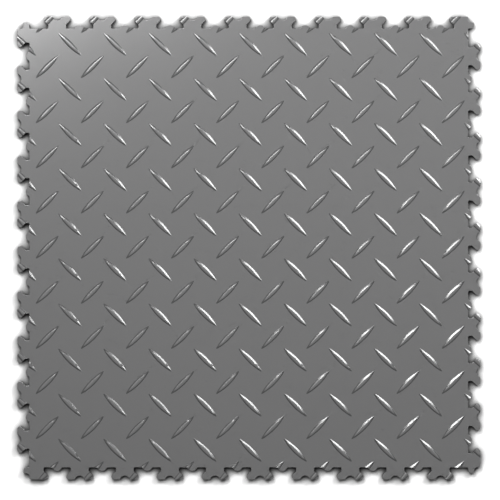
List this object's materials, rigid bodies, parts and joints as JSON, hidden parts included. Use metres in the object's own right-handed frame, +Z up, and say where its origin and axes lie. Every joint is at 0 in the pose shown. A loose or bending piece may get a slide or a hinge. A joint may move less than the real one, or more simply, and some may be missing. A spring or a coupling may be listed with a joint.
{
  "type": "interlocking pvc floor tile",
  "caption": "Square PVC floor tile with dovetail teeth and sockets on all four edges and a raised pattern of lens-shaped tread bars set in alternate diagonals.",
  "frame": {"origin": "centre of the underside, where the tile rests on the floor", "axes": "+Z up out of the tread; X and Y along the edges, +Y towards the top of the picture"},
  "size_m": [0.5132, 0.5132, 0.007],
  "materials": {
    "pvc": "satin"
  },
  "bodies": {
    "root": {"floor_tile": "pvc"}
  },
  "joints": []
}
